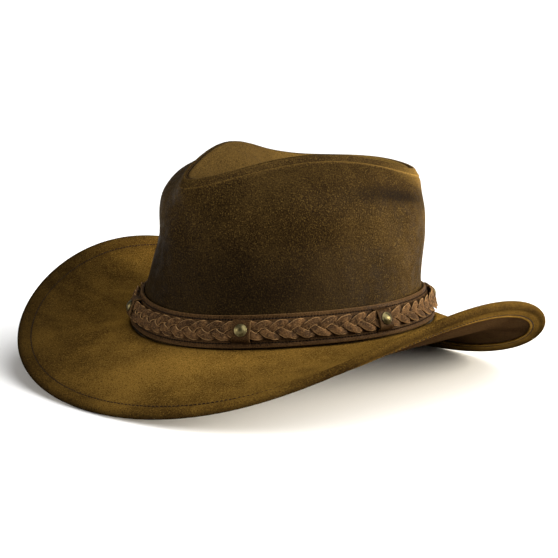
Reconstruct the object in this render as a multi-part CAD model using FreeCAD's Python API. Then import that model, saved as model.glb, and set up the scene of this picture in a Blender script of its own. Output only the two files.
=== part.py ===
import FreeCAD, Part
import math
import os
from collections import namedtuple

# Leather cowboy hat with a pinched crown, a wired brim and a braided hatband.
# Millimetres.  The front of the hat is -Y, the wearer's left is +X and up is +Z.
# Angles run round the head: 0 at the front, 90 at the wearer's left, 180 at the back.
# The hat stands brim-down at z = 0, and the origin is the middle of its footprint.

# ---------------------------------------------------------------- driving dimensions

SIDE_LEATHER = 1.4      # crown panels
TOP_LEATHER = 1.2       # upper brim leather, also its hem
INTERLINING = 0.8
UNDER_LEATHER = 1.2
SWEAT_LEATHER = 1.0
STRAP_LEATHER = 2.2
GAP = 0.12              # kept between neighbouring pieces

WIRE_RADIUS = 1.2
FERRULE_RADIUS = 1.55   # outside, over the wire joint
FERRULE_LENGTH = 14.0
ROLL_RADIUS = 1.7       # inside of the rolled brim edge
HEM_WIDTH = 8.0
EDGE_STITCH_INSET = 6.0

COLLAR_HEIGHT = 7.5     # brim leather turned up behind the strap
CROWN_FOOT = -3.4       # lowest station of the crown wall
SWEAT_TOP = 33.0
REED_RADIUS = 0.8
SEAM_ALLOWANCE = 3.4
THREAD_RADIUS = 0.35

STRAP_HEIGHT = 20.5
STRAP_LIFT = 0.4        # strap's lower edge above the brim
STITCH_MARGIN = 2.8     # strap edge to its stitching

KEEPER_ANGLES = (31.5, 85.5, 146.0, 214.0, 274.5, 328.5)
KEEPER_WIDTH = 11.6
KEEPER_OPENING = 13.6
KEEPER_RISE = 4.3       # middle of the keeper's leather above the strap
KEEPER_LEATHER = 1.2
SLIT = 0.6              # each side of a keeper

BRAID_PERIODS = 20
BRAID_SWING = 3.8       # sideways, either way
BRAID_WEAVE = 1.0       # in and out, either way
BRAID_LAG = 21.0        # degrees of a period by which the weave trails the swing
BRAID_TILT = 0.9        # leans each lace's edges over or under their neighbours
LACE_WIDTH = 3.9
LACE_THICKNESS = 0.8

RIVET_RADIUS = 4.0
RIVET_HEIGHT = 1.9
POST_RADIUS = 1.2
POST_BASE_RADIUS = 3.2
POST_BASE = 0.35

SEAT_PITCH = 1.8        # degrees, tips the hat on to the front and back of its brim
SEAT_SHIFT_Y = 6.17
SEAT_LIFT = 40.81

TURNS = 48              # sections round the hat
ARCS = 12               # surface patches round the hat

# ---------------------------------------------------------------- rings round the head

# front, back and side are the distances from the middle, side_y says where the ring is
# widest, egg narrows the front (negative) and boxy and blunt square off sides and ends.
# The heights are those at the front, side and back; sway and wave shape them in between.
Ring = namedtuple(
    "Ring", "front back side side_y egg boxy blunt front_z side_z back_z sway wave")

BAND_FOOT = Ring(107.6, 106.2, 94.7, 0.7, 0.0, 0.2, 0.0, -3.0, 1.7, -2.7, 0.0, -0.6)
BAND_TOP = Ring(100.3, 99.0, 87.0, 0.7, 0.0, 0.2, 0.0, 16.6, 21.3, 17.0, 0.0, -0.6)
MIDDLE = Ring(92.8, 98.7, 79.4, 2.6, -5.1, 0.0, 0.0, 55.0, 55.0, 55.0, 0.0, 0.0)
SHOULDER = Ring(89.5, 96.4, 74.1, 4.8, -5.6, 0.0, 0.0, 79.5, 93.3, 80.0, -3.1, 1.0)
FOLD = Ring(92.7, 92.9, 55.9, 5.8, -15.3, 1.6, 2.1, 92.7, 105.8, 92.5, -3.1, 1.0)
RIDGE = Ring(89.2, 89.4, 52.4, 6.6, -14.8, 1.5, 2.0, 98.0, 109.6, 97.7, -3.0, 1.0)
RIM = Ring(170.6, 156.2, 161.2, 2.2, 0.0, 5.2, -2.3, -31.2, 29.0, -41.6, 2.0, 1.2)

DENT_MIDDLE = (0.0, 6.0, 88.0)
DENT_SLOPE = 0.66       # share of the way out to the ridge
DENT_SLOPE_DROP = 8.0
DENT_FLOOR = 0.30
DENT_FLOOR_RISE = 1.0

# How far each ring lies along the crown's profile, from the brim to the middle of the dent.
FOOT, HEEL, BAND, MID = 0.0, 9.0, 21.0, 56.0
SHO, FOL, RID = 91.0, 105.0, 111.0
SLO, FLO, CEN = 128.0, 146.0, 166.0
JOIN = 113.0            # the top seam, just inside the ridge


def ring_point(ring, angle):
    """The point of a ring at an angle in degrees."""
    t = math.radians(angle)
    c1, c2, c3 = math.cos(t), math.cos(2 * t), math.cos(3 * t)
    s1, s2, s3 = math.sin(t), math.sin(2 * t), math.sin(3 * t)
    lean = (ring.front - ring.back) / 2
    y = (-(ring.front + ring.back) / 2 * c1 - (lean + ring.side_y) / 2 * c2
         + (ring.side_y - lean) / 2 - ring.blunt * (c3 - c1))
    x = ring.side * s1 + ring.egg * s2 + ring.boxy * (s3 + s1)
    ends = (ring.front_z + ring.back_z) / 2
    z = ((ends + ring.side_z) / 2 + (ring.front_z - ring.back_z) / 2 * c1
         + (ends - ring.side_z) / 2 * c2 + ring.sway * (c3 - c1)
         + ring.wave * (math.cos(4 * t) - 1))
    return (x, y, z)


# ---------------------------------------------------------------- small vector helpers

def add(a, b, scale=1.0):
    return tuple(p + q * scale for p, q in zip(a, b))


def sub(a, b):
    return tuple(p - q for p, q in zip(a, b))


def cross(a, b):
    return (a[1] * b[2] - a[2] * b[1], a[2] * b[0] - a[0] * b[2], a[0] * b[1] - a[1] * b[0])


def unit(a):
    size = math.sqrt(sum(p * p for p in a))
    return tuple(p / size for p in a)


def blend(a, b, share):
    return tuple(p + (q - p) * share for p, q in zip(a, b))


def seat(point):
    """A point of the hat as it stands on the table."""
    x, y, z = point
    pitch = math.radians(SEAT_PITCH)
    return FreeCAD.Vector(x, y * math.cos(pitch) - z * math.sin(pitch) + SEAT_SHIFT_Y,
                          y * math.sin(pitch) + z * math.cos(pitch) + SEAT_LIFT)


# ---------------------------------------------------------------- the shaped surfaces

def band_point(angle, height, depth=0.0):
    """A point on the strap's outer face, or a depth behind it."""
    low, high = ring_point(BAND_FOOT, angle), ring_point(BAND_TOP, angle)
    up = unit(sub(high, low))
    along = sub(ring_point(BAND_FOOT, angle + 1), ring_point(BAND_FOOT, angle - 1))
    out = unit(cross(along, up))
    return add(add(low, up, height), out, -depth)


def band_frame(angle, height):
    """A point on the strap's outer face with the directions along, up and out of it."""
    spot = band_point(angle, height)
    out = unit(sub(spot, band_point(angle, height, 1.0)))
    up = unit(sub(band_point(angle, height + 1), spot))
    return spot, unit(cross(up, out)), up, out


def crown_knots(angle):
    """The crown's outer profile at one angle, as points with their stations."""
    behind = STRAP_LEATHER + TOP_LEATHER + 2 * GAP
    ridge = ring_point(RIDGE, angle)
    slope = blend(DENT_MIDDLE, ridge, DENT_SLOPE)
    floor = blend(DENT_MIDDLE, ridge, DENT_FLOOR)
    return [
        (FOOT, band_point(angle, FOOT, behind)),
        (HEEL, band_point(angle, HEEL, behind)),
        (BAND, band_point(angle, BAND, STRAP_LEATHER + 2 * GAP)),
        (MID, ring_point(MIDDLE, angle)),
        (SHO, ring_point(SHOULDER, angle)),
        (FOL, ring_point(FOLD, angle)),
        (RID, ridge),
        (SLO, (slope[0], slope[1], ridge[2] - DENT_SLOPE_DROP)),
        (FLO, (floor[0], floor[1], DENT_MIDDLE[2] + DENT_FLOOR_RISE)),
        (CEN, DENT_MIDDLE)]


def crown_point(angle, station):
    """A smooth curve through the profile's points; below the first it runs straight on."""
    knots = crown_knots(angle)
    slopes = [tuple(d / (b[0] - a[0]) for d in sub(b[1], a[1]))
              for a, b in zip(knots, knots[1:])]
    last = len(knots) - 1
    if station <= knots[0][0]:
        return add(knots[0][1], slopes[0], station - knots[0][0])
    i = 0
    while i < last - 1 and station > knots[i + 1][0]:
        i += 1
    span = knots[i + 1][0] - knots[i][0]
    tangents = []
    for k in (i, i + 1):
        if k == 0:
            tangents.append(slopes[0])
        elif k == last:
            tangents.append(tuple(d * f for d, f in zip(slopes[-1], (1.0, 1.0, 0.0))))
        else:
            before = knots[k][0] - knots[k - 1][0]
            after = knots[k + 1][0] - knots[k][0]
            tangents.append(blend(slopes[k - 1], slopes[k], before / (before + after)))
    t = (station - knots[i][0]) / span
    point = blend(knots[i][1], knots[i + 1][1], 3 * t ** 2 - 2 * t ** 3)
    point = add(point, tangents[0], (t ** 3 - 2 * t ** 2 + t) * span)
    return add(point, tangents[1], (t ** 3 - t ** 2) * span)


def crown_offset(angle, station, depth):
    """A point a depth behind the crown's outer face, square to it."""
    spot = crown_point(angle, station)
    if station >= CEN - 0.5:
        return add(spot, (0.0, 0.0, -1.0), depth)
    along = sub(crown_point(angle + 1, station), crown_point(angle - 1, station))
    upward = sub(crown_point(angle, station + 0.5), crown_point(angle, station - 0.5))
    return add(spot, unit(cross(along, upward)), -depth)


def brim_arc(angle):
    """The brim's profile at one angle: its root, outward direction, length and slopes."""
    root = band_point(angle, 0.0, STRAP_LEATHER + GAP)
    rim = ring_point(RIM, angle)
    run = math.hypot(rim[0] - root[0], rim[1] - root[1])
    rise = rim[2] - root[2]
    outward = ((rim[0] - root[0]) / run, (rim[1] - root[1]) / run, 0.0)
    bend = math.radians(18.0 - 36.0 * math.cos(math.radians(2 * angle)))
    chord = math.atan2(rise, run)
    curl = bend / 2 / math.sin(bend / 2) if abs(bend) > 1e-6 else 1.0
    return root, outward, math.hypot(run, rise) * curl, chord - bend / 2, bend


def brim_offset(angle, from_rim, depth):
    """A point of the brim, counted outward from the rim, a depth below its top face."""
    root, outward, length, start, bend = brim_arc(angle)
    reach = length + from_rim
    slope = start + bend * reach / length
    if reach > length:
        slope = start + bend
        reach = length
    half = bend * reach / length / 2
    chord = reach * (math.sin(half) / half if abs(half) > 1e-6 else 1.0)
    spot = add(root, outward, chord * math.cos(start + half))
    spot = add(spot, (0.0, 0.0, 1.0), chord * math.sin(start + half))
    over = max(0.0, from_rim)
    spot = add(spot, outward, over * math.cos(slope) + depth * math.sin(slope))
    return add(spot, (0.0, 0.0, 1.0), over * math.sin(slope) - depth * math.cos(slope))


def brim_length(angle):
    return brim_arc(angle)[2]


# ---------------------------------------------------------------- solids from sections

def patch_solid(surface, turns, around, across):
    """A solid whose skin is one surface cut into patches along its own grid lines."""
    if surface.isVPeriodic():
        surface.setVNotPeriodic()
    surface.setUNotPeriodic()
    faces = []
    for i in range(0, turns, around):
        for low, high in zip(across, across[1:]):
            patch = surface.copy()
            patch.segment(i, i + around, low, high)
            faces.append(patch.toShape())
    shell = Part.makeShell(faces)
    shell.sewShape()
    solid = Part.Solid(shell)
    if solid.Volume < 0:
        solid.reverse()
    return solid


def swept_poles(section, turns):
    """Poles for a smooth sweep, each leaned outward so the surface meets its sections."""
    rows = [[seat(p) for p in section(360.0 * i / turns)] for i in range(turns)]
    poles = []
    for i, row in enumerate(rows):
        before, after = rows[i - 1], rows[(i + 1) % turns]
        poles.append([p * (4 / 3) - (a + b) * (1 / 6) for p, a, b in zip(row, before, after)])
    return poles


def ring_solid(section, turns=TURNS, arcs=ARCS, degree=3, strips=None):
    """One closed solid from a closed section swept right round the hat.

    A degree of 3 rounds the section off between its points; 1 keeps it a polygon.
    """
    rows = swept_poles(section, turns)
    across = len(rows[0])
    surface = Part.BSplineSurface()
    surface.buildFromPolesMultsKnots(
        rows, [1] * (turns + 1), [1] * (across + 1), list(range(turns + 1)),
        list(range(across + 1)), True, True, 3, degree)
    strips = strips or max(2, round(across / 8))
    cuts = [round(across * i / strips) for i in range(strips + 1)]
    return patch_solid(surface, turns, turns // arcs, cuts)


def cap_solid(section, turns=TURNS, arcs=ARCS):
    """A closed solid whose section starts and ends on one axis point, such as a disc."""
    rows = swept_poles(section, turns)
    across = len(rows[0])
    last = across - 3
    surface = Part.BSplineSurface()
    surface.buildFromPolesMultsKnots(
        rows, [1] * (turns + 1), [4] + [1] * (last - 1) + [4],
        list(range(turns + 1)), list(range(last + 1)), True, False, 3, 3)
    strips = max(2, round(last / 8))
    cuts = [round(last * i / strips) for i in range(strips + 1)]
    return patch_solid(surface, turns, turns // arcs, cuts)


def cord_solid(centre, radius, degree=3):
    """A cord right round the hat; centre gives its middle for an offset (a, b).

    A degree of 3 makes it round and 1 makes it six-sided, with the area of the round one.
    """
    pole = radius * (1.2 if degree == 3 else 1.1)

    def section(angle):
        return [centre(angle, pole * math.cos(math.pi * k / 3), pole * math.sin(math.pi * k / 3))
                for k in range(6)]
    return ring_solid(section, degree=degree, strips=6)


def thread_solid(centre):
    return cord_solid(centre, THREAD_RADIUS, degree=1)


def strip(path, thickness):
    """The outline of a strip of even thickness along a flat path of points."""
    left, right = [], []
    for i, (x, y) in enumerate(path):
        before, after = path[max(i - 1, 0)], path[min(i + 1, len(path) - 1)]
        dx, dy = after[0] - before[0], after[1] - before[1]
        size = math.hypot(dx, dy)
        nx, ny = -dy / size * thickness / 2, dx / size * thickness / 2
        left.append((x + nx, y + ny))
        right.append((x - nx, y - ny))
    return left + right[::-1]


def steps(start, end, count):
    return [start + (end - start) * i / (count - 1) for i in range(count)]


def keeper_box(angle, width, height, low, high):
    """A block square to the strap at one keeper, from a depth low to a depth high."""
    spot, along, up, out = band_frame(angle, STRAP_LIFT + STRAP_HEIGHT / 2)
    corners = []
    for a, b in ((-1, -1), (1, -1), (1, 1), (-1, 1)):
        corner = add(add(spot, along, a * width / 2), up, b * height / 2)
        corners.append(seat(add(corner, out, low)))
    face = Part.Face(Part.makePolygon(corners + corners[:1]))
    return face.extrude(seat(add(spot, out, high - low)) - seat(spot))


def back_slab(half_width):
    """A thin upright slab at the back of the hat, for opening or picking out a seam."""
    return Part.makeBox(2 * half_width, 250, 300, FreeCAD.Vector(-half_width, 20, -50))


# ---------------------------------------------------------------- crown

def crown_side_panel():
    """One wall panel, its top edge turned in as a seam allowance, open at the back seam."""
    def section(angle):
        stations = [CROWN_FOOT, CROWN_FOOT + 1.5] + steps(3, SHO, 11)
        stations += [96.0, 100.0, 103.0, FOL, 107.0, 109.0, RID, JOIN - 0.6]
        outer = [crown_offset(angle, s, 0.0) for s in stations]
        turned = [crown_offset(angle, JOIN - GAP / 2, d) for d in (0.3, 1.4, 2.4, SEAM_ALLOWANCE)]
        under = [crown_offset(angle, JOIN - 1.3, d) for d in (SEAM_ALLOWANCE, 2.6, 1.9)]
        inner = [crown_offset(angle, s, SIDE_LEATHER) for s in reversed(stations[:-1])]
        return outer + turned + under + inner
    return ring_solid(section).cut(back_slab(0.12))


def crown_tip_panel():
    """The top panel: a turned-down edge, the ridge and the long dent between its sides."""
    def section(angle):
        stations = [CEN, CEN - 4, 152.0, 144.0, 136.0, 129.0, 124.0, 120.0, 117.0, 115.0]
        stations += [JOIN + 0.6]
        outer = [crown_offset(angle, s, 0.0) for s in stations]
        turned = [crown_offset(angle, JOIN + GAP / 2, d) for d in (0.3, 1.4, 2.4, SEAM_ALLOWANCE)]
        under = [crown_offset(angle, JOIN + 1.2, d) for d in (SEAM_ALLOWANCE, 2.6, 1.9)]
        inner = [crown_offset(angle, s, SIDE_LEATHER) for s in reversed(stations[:-2])]
        return outer + turned + under + inner
    return cap_solid(section)


def crown_seam_thread():
    """The thread that shows in the seam round the top."""
    def centre(angle, a, b):
        return crown_offset(angle, JOIN + a, -0.45 - b)
    return thread_solid(centre)


def crown_back_tape():
    """Tape behind the back seam, between the sweatband and the top seam."""
    low, high = SWEAT_TOP + 2.0, SHO
    front = SIDE_LEATHER + GAP

    def section(angle):
        stations = steps(low, high, 9)
        outer = [crown_offset(angle, s, front) for s in stations]
        inner = [crown_offset(angle, s, front + 0.6) for s in reversed(stations)]
        return outer + inner
    return ring_solid(section).common(back_slab(5.0))


def crown_back_threads():
    """Two rows of stitching that hold the back seam open on its tape."""
    rows = []
    for angle in (178.4, 181.6):
        points = [seat(crown_offset(angle, s, -0.45)) for s in steps(22.5, 101.0, 14)]
        curve = Part.BSplineCurve()
        curve.interpolate(points)
        start = Part.makeCircle(THREAD_RADIUS, points[0], points[1] - points[0])
        rows.append(Part.Wire(curve.toShape()).makePipeShell([Part.Wire(start)], True, True))
    return Part.makeCompound(rows)


# ---------------------------------------------------------------- brim

def roll_centre():
    """Depth of the middle of the rolled edge below the brim's top face."""
    return (TOP_LEATHER + INTERLINING + UNDER_LEATHER + 2 * GAP) / 2


def brim_top_leather():
    """Upper leather: a collar behind the strap, the brim, the roll round the wire, the hem."""
    roll = ROLL_RADIUS + TOP_LEATHER / 2
    middle = roll_centre()
    flat_depth = TOP_LEATHER / 2
    hem_depth = 2 * middle + GAP + TOP_LEATHER / 2
    heights = [1.5, 3.0, 5.0, COLLAR_HEIGHT]
    collar_front = STRAP_LEATHER + GAP
    collar_back = collar_front + TOP_LEATHER

    def path(angle):
        run = [(r, flat_depth) for r in steps(3.0 - brim_length(angle), -8.5, 11)]
        run += [(-6.0, flat_depth), (-3.5, flat_depth - 0.2), (-1.6, middle - roll + 0.2)]
        for turn in range(-10, 200, 20):
            bend = math.radians(turn)
            run.append((roll * math.sin(bend), middle - roll * math.cos(bend)))
        run += [(-2.6, hem_depth - 0.3), (-4.5, hem_depth)]
        return run + [(-6.2, hem_depth), (-HEM_WIDTH, hem_depth)]

    def section(angle):
        length = brim_length(angle)
        sheet = [brim_offset(angle, r, d) for r, d in strip(path(angle), TOP_LEATHER)]
        top_heel = [brim_offset(angle, 0.8 - length, 0.0)]
        front = [band_point(angle, h, collar_front) for h in heights]
        back = [band_point(angle, h, collar_back) for h in reversed(heights)]
        under_heel = [brim_offset(angle, -1.1 - length, TOP_LEATHER)]
        return sheet + top_heel + front + back + under_heel
    return ring_solid(section)


def brim_layer(depth, thickness, outer_edge):
    """A flat layer inside the brim, from the crown wall out to an edge near the rim."""
    def section(angle):
        inner_edge = -0.6 - brim_length(angle)
        path = [(r, depth + thickness / 2) for r in steps(inner_edge, outer_edge, 14)]
        return [brim_offset(angle, r, d) for r, d in strip(path, thickness)]
    return ring_solid(section)


def brim_interlining():
    return brim_layer(TOP_LEATHER + GAP, INTERLINING, -3.6)


def brim_under_leather():
    return brim_layer(TOP_LEATHER + INTERLINING + 2 * GAP, UNDER_LEATHER, -2.6)


def brim_edge_wire():
    """Spring wire round the rim, its two ends meeting at the back."""
    def centre(angle, a, b):
        return brim_offset(angle, a, roll_centre() + b)
    return cord_solid(centre, WIRE_RADIUS).cut(back_slab(0.25))


def brim_wire_ferrule():
    """Slotted sleeve crimped over the joint in the wire."""
    wall = FERRULE_RADIUS - WIRE_RADIUS - 0.06
    middle = FERRULE_RADIUS - wall / 2
    arc = [math.radians(turn) for turn in range(15, 350, 15)]
    path = [(-middle * math.cos(a), roll_centre() + middle * math.sin(a)) for a in arc]

    def section(angle):
        return [brim_offset(angle, r, d) for r, d in strip(path, wall)]
    return ring_solid(section).common(back_slab(FERRULE_LENGTH / 2))


def brim_edge_threads():
    """The row of stitching through the brim and its hem: one thread above, one below."""
    below = 2 * roll_centre() + GAP + TOP_LEATHER

    def top(angle, a, b):
        return brim_offset(angle, a - EDGE_STITCH_INSET, b - THREAD_RADIUS - 0.08)

    def bottom(angle, a, b):
        return brim_offset(angle, a - EDGE_STITCH_INSET, b + below + THREAD_RADIUS + 0.05)
    return Part.makeCompound([thread_solid(top), thread_solid(bottom)])


# ---------------------------------------------------------------- sweatband

SWEAT_DEPTH = SIDE_LEATHER + 0.3 + SWEAT_LEATHER / 2
REED_STATION = -5.5
REED_DEPTH = 1.3


def sweatband():
    """Inner band that lies on the head, its lower edge folded round the reed."""
    fold = REED_RADIUS + 0.12 + SWEAT_LEATHER / 2
    path = [(s, SWEAT_DEPTH) for s in steps(SWEAT_TOP, 0.0, 8)] + [(-3.0, SWEAT_DEPTH + 0.15)]
    for turn in range(0, 201, 20):
        bend = math.radians(turn)
        path.append((REED_STATION - fold * math.sin(bend), REED_DEPTH + fold * math.cos(bend)))

    def section(angle):
        return [crown_offset(angle, s, d) for s, d in strip(path, SWEAT_LEATHER)]
    return ring_solid(section)


def sweatband_reed():
    def centre(angle, a, b):
        return crown_offset(angle, REED_STATION + a, REED_DEPTH + b)
    return cord_solid(centre, REED_RADIUS)


def sweatband_thread():
    """The row of stitching above the fold."""
    def centre(angle, a, b):
        reach = SWEAT_DEPTH + SWEAT_LEATHER / 2 + THREAD_RADIUS + 0.1
        return crown_offset(angle, a - 0.5, reach + b)
    return thread_solid(centre)


# ---------------------------------------------------------------- hatband

STRAP_MIDDLE = STRAP_LIFT + STRAP_HEIGHT / 2
STRAP_TOP = STRAP_LIFT + STRAP_HEIGHT


def keeper(angle):
    """The bridge of strap leather between two slits, arched over the braid."""
    arch = [(8.6, -1.0), (7.1, -0.8), (6.5, 0.5), (6.4, 2.4), (5.2, KEEPER_RISE - 0.3)]
    path = [(-up, out) for up, out in arch] + [(0.0, KEEPER_RISE)] + arch[::-1]
    spot, along, up, out = band_frame(angle, STRAP_MIDDLE)
    start = add(spot, along, -KEEPER_WIDTH / 2)
    corners = [seat(add(add(start, up, u), out, o)) for u, o in strip(path, KEEPER_LEATHER)]
    face = Part.Face(Part.makePolygon(corners + corners[:1]))
    return face.extrude(seat(add(start, along, KEEPER_WIDTH)) - seat(start))


def hatband_strap():
    """The strap round the crown, with its keepers and a rivet hole through each."""
    heights = [STRAP_LIFT, STRAP_LIFT + 0.6, 4.0, STRAP_MIDDLE, 17.5, STRAP_TOP - 0.6, STRAP_TOP]

    def section(angle):
        front = [band_point(angle, h, 0.0) for h in heights]
        back = [band_point(angle, h, STRAP_LEATHER) for h in reversed(heights)]
        return front + back
    strap = ring_solid(section)
    for angle in KEEPER_ANGLES:
        width = KEEPER_WIDTH + 2 * SLIT
        strap = strap.cut(keeper_box(angle, width, KEEPER_OPENING, -4.0, 1.5))
    for angle in KEEPER_ANGLES:
        hole = Part.makeCylinder(POST_RADIUS + 0.1, 4.0)
        strap = strap.fuse(keeper(angle).cut(on_keeper(hole, angle, 2.0)))
    return strap


def strap_thread(height):
    def centre(angle, a, b):
        return band_point(angle, height + a, b - THREAD_RADIUS - 0.08)
    return thread_solid(centre)


def hatband_upper_thread():
    return strap_thread(STRAP_TOP - STITCH_MARGIN)


def hatband_lower_thread():
    return strap_thread(STRAP_LIFT + STITCH_MARGIN)


def braid_strand(strand):
    """One flat lace of the braid; three of them run a third of a period apart."""
    def section(angle):
        phase = math.radians(BRAID_PERIODS * angle + 120 * strand)
        height = STRAP_MIDDLE + BRAID_SWING * math.sin(phase)
        lowest = GAP + LACE_THICKNESS / 2 + 0.25
        out = lowest + BRAID_WEAVE * (1 + math.sin(2 * phase - math.radians(BRAID_LAG)))
        quarter = phase - math.pi / 4
        tilt = BRAID_TILT * math.sin(quarter) ** 2 * math.cos(quarter)
        along = math.dist(band_point(angle - 0.5, height, 0), band_point(angle + 0.5, height, 0))
        slope = BRAID_SWING * math.cos(phase) * math.radians(BRAID_PERIODS) / along
        half = LACE_WIDTH / 2 * math.hypot(1, slope)
        corners = [(-half, -0.5), (half, -0.5), (half, 0.5), (-half, 0.5)]
        return [band_point(angle, height + u, -out - tilt * u - LACE_THICKNESS * v)
                for u, v in corners]
    return ring_solid(section, BRAID_PERIODS * 10, BRAID_PERIODS * 2, degree=1, strips=4)


# ---------------------------------------------------------------- rivets

def on_keeper(shape, angle, height):
    """Stands a shape, drawn up the Z axis, on a keeper at a height above the strap."""
    spot, along, up, out = band_frame(angle, STRAP_MIDDLE)
    direction = seat(add(spot, out)) - seat(spot)
    placed = shape.copy()
    placed.Placement = FreeCAD.Placement(
        seat(add(spot, out, height)), FreeCAD.Rotation(FreeCAD.Vector(0, 0, 1), direction))
    return placed


def rivet_caps():
    """Domed caps, one on each keeper, each with a socket for its post."""
    ball = (RIVET_RADIUS ** 2 + RIVET_HEIGHT ** 2) / (2 * RIVET_HEIGHT)
    dome = Part.makeSphere(ball, FreeCAD.Vector(0, 0, RIVET_HEIGHT - ball))
    dome = dome.common(Part.makeCylinder(RIVET_RADIUS, RIVET_HEIGHT + 1))
    dome = dome.cut(Part.makeCylinder(POST_RADIUS + 0.05, 1.0))
    face = KEEPER_RISE + KEEPER_LEATHER / 2 + 0.05
    return Part.makeCompound([on_keeper(dome, angle, face) for angle in KEEPER_ANGLES])


def rivet_posts():
    """Posts through the keepers, their flat bases behind the leather."""
    bottom = KEEPER_RISE - KEEPER_LEATHER / 2 - POST_BASE - 0.05
    length = POST_BASE + KEEPER_LEATHER + 0.9
    post = Part.makeCylinder(POST_BASE_RADIUS, POST_BASE)
    post = post.fuse(Part.makeCylinder(POST_RADIUS, length))
    return Part.makeCompound([on_keeper(post, angle, bottom) for angle in KEEPER_ANGLES])


# ---------------------------------------------------------------- write the parts

NODES = {
    "crown_side_panel": crown_side_panel,
    "crown_tip_panel": crown_tip_panel,
    "crown_seam_thread": crown_seam_thread,
    "crown_back_tape": crown_back_tape,
    "crown_back_threads": crown_back_threads,
    "brim_top_leather": brim_top_leather,
    "brim_interlining": brim_interlining,
    "brim_under_leather": brim_under_leather,
    "brim_edge_wire": brim_edge_wire,
    "brim_wire_ferrule": brim_wire_ferrule,
    "brim_edge_threads": brim_edge_threads,
    "sweatband": sweatband,
    "sweatband_reed": sweatband_reed,
    "sweatband_thread": sweatband_thread,
    "hatband_strap": hatband_strap,
    "hatband_upper_thread": hatband_upper_thread,
    "hatband_lower_thread": hatband_lower_thread,
    "braid_strand_1": lambda: braid_strand(0),
    "braid_strand_2": lambda: braid_strand(1),
    "braid_strand_3": lambda: braid_strand(2),
    "rivet_caps": rivet_caps,
    "rivet_posts": rivet_posts,
}

os.makedirs("parts", exist_ok=True)
for name, build in NODES.items():
    shape = build()
    if len(shape.Solids) == 1:
        shape = shape.Solids[0]
    shape.exportStep(os.path.join("parts", name + ".step"))
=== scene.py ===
import math
from collections import namedtuple

import bmesh
import bpy
import numpy as np
from mathutils import Matrix, Vector


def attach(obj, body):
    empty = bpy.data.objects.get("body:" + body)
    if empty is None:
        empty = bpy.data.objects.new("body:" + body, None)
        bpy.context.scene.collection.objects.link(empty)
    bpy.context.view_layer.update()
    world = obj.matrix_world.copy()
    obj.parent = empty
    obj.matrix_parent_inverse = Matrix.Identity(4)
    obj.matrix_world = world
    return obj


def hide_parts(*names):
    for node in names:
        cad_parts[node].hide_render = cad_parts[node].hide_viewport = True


# The looks of a leather cowboy hat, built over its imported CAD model.
# Shapes are worked out in millimetres in the hat's own upright frame (front -Y, wearer's
# left +X) and seated on the table in metres, as the CAD model is.

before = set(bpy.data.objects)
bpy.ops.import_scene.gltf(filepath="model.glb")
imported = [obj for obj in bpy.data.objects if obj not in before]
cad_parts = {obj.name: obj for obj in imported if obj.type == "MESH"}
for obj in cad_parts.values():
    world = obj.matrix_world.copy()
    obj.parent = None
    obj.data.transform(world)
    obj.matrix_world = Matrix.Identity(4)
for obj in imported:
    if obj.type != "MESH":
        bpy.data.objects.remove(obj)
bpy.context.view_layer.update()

MM = 0.001

# ---------------------------------------------------------------- sizes shared with the CAD

SIDE_LEATHER = 1.4
TOP_LEATHER = 1.2
INTERLINING = 0.8
UNDER_LEATHER = 1.2
SWEAT_LEATHER = 1.0
STRAP_LEATHER = 2.2
GAP = 0.12
THREAD_RADIUS = 0.35
SEAM_ALLOWANCE = 3.4

ROLL_RADIUS = 1.7
HEM_WIDTH = 8.0
EDGE_STITCH_INSET = 6.0
CROWN_FOOT = -3.4
SWEAT_TOP = 33.0
REED_RADIUS = 0.8
REED_STATION = -5.5
REED_DEPTH = 1.3

STRAP_HEIGHT = 20.5
STRAP_LIFT = 0.4
STRAP_MIDDLE = STRAP_LIFT + STRAP_HEIGHT / 2
STRAP_TOP = STRAP_LIFT + STRAP_HEIGHT
STITCH_MARGIN = 2.8

KEEPER_ANGLES = (31.5, 85.5, 146.0, 214.0, 274.5, 328.5)
KEEPER_WIDTH = 11.6
KEEPER_OPENING = 13.6
KEEPER_RISE = 4.3
KEEPER_LEATHER = 1.2
SLIT = 0.6

BRAID_PERIODS = 20
BRAID_SWING = 3.8
BRAID_WEAVE = 1.0
BRAID_LAG = 21.0
BRAID_TILT = 0.9
LACE_THICKNESS = 0.8

RIVET_RADIUS = 4.0
RIVET_HEIGHT = 1.9

SEAT_PITCH = 1.8
SEAT_SHIFT_Y = 6.17
SEAT_LIFT = 40.81

Ring = namedtuple(
    "Ring", "front back side side_y egg boxy blunt front_z side_z back_z sway wave")

BAND_FOOT = Ring(107.6, 106.2, 94.7, 0.7, 0.0, 0.2, 0.0, -3.0, 1.7, -2.7, 0.0, -0.6)
BAND_TOP = Ring(100.3, 99.0, 87.0, 0.7, 0.0, 0.2, 0.0, 16.6, 21.3, 17.0, 0.0, -0.6)
MIDDLE = Ring(92.8, 98.7, 79.4, 2.6, -5.1, 0.0, 0.0, 55.0, 55.0, 55.0, 0.0, 0.0)
SHOULDER = Ring(89.5, 96.4, 74.1, 4.8, -5.6, 0.0, 0.0, 79.5, 93.3, 80.0, -3.1, 1.0)
FOLD = Ring(92.7, 92.9, 55.9, 5.8, -15.3, 1.6, 2.1, 92.7, 105.8, 92.5, -3.1, 1.0)
RIDGE = Ring(89.2, 89.4, 52.4, 6.6, -14.8, 1.5, 2.0, 98.0, 109.6, 97.7, -3.0, 1.0)
RIM = Ring(170.6, 156.2, 161.2, 2.2, 0.0, 5.2, -2.3, -31.2, 29.0, -41.6, 2.0, 1.2)

DENT_MIDDLE = np.array((0.0, 6.0, 88.0))
DENT_SLOPE = 0.66
DENT_SLOPE_DROP = 8.0
DENT_FLOOR = 0.30
DENT_FLOOR_RISE = 1.0

FOOT, HEEL, BAND, MID = 0.0, 9.0, 21.0, 56.0
SHO, FOL, RID = 91.0, 105.0, 111.0
SLO, FLO, CEN = 128.0, 146.0, 166.0
JOIN = 113.0

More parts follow.
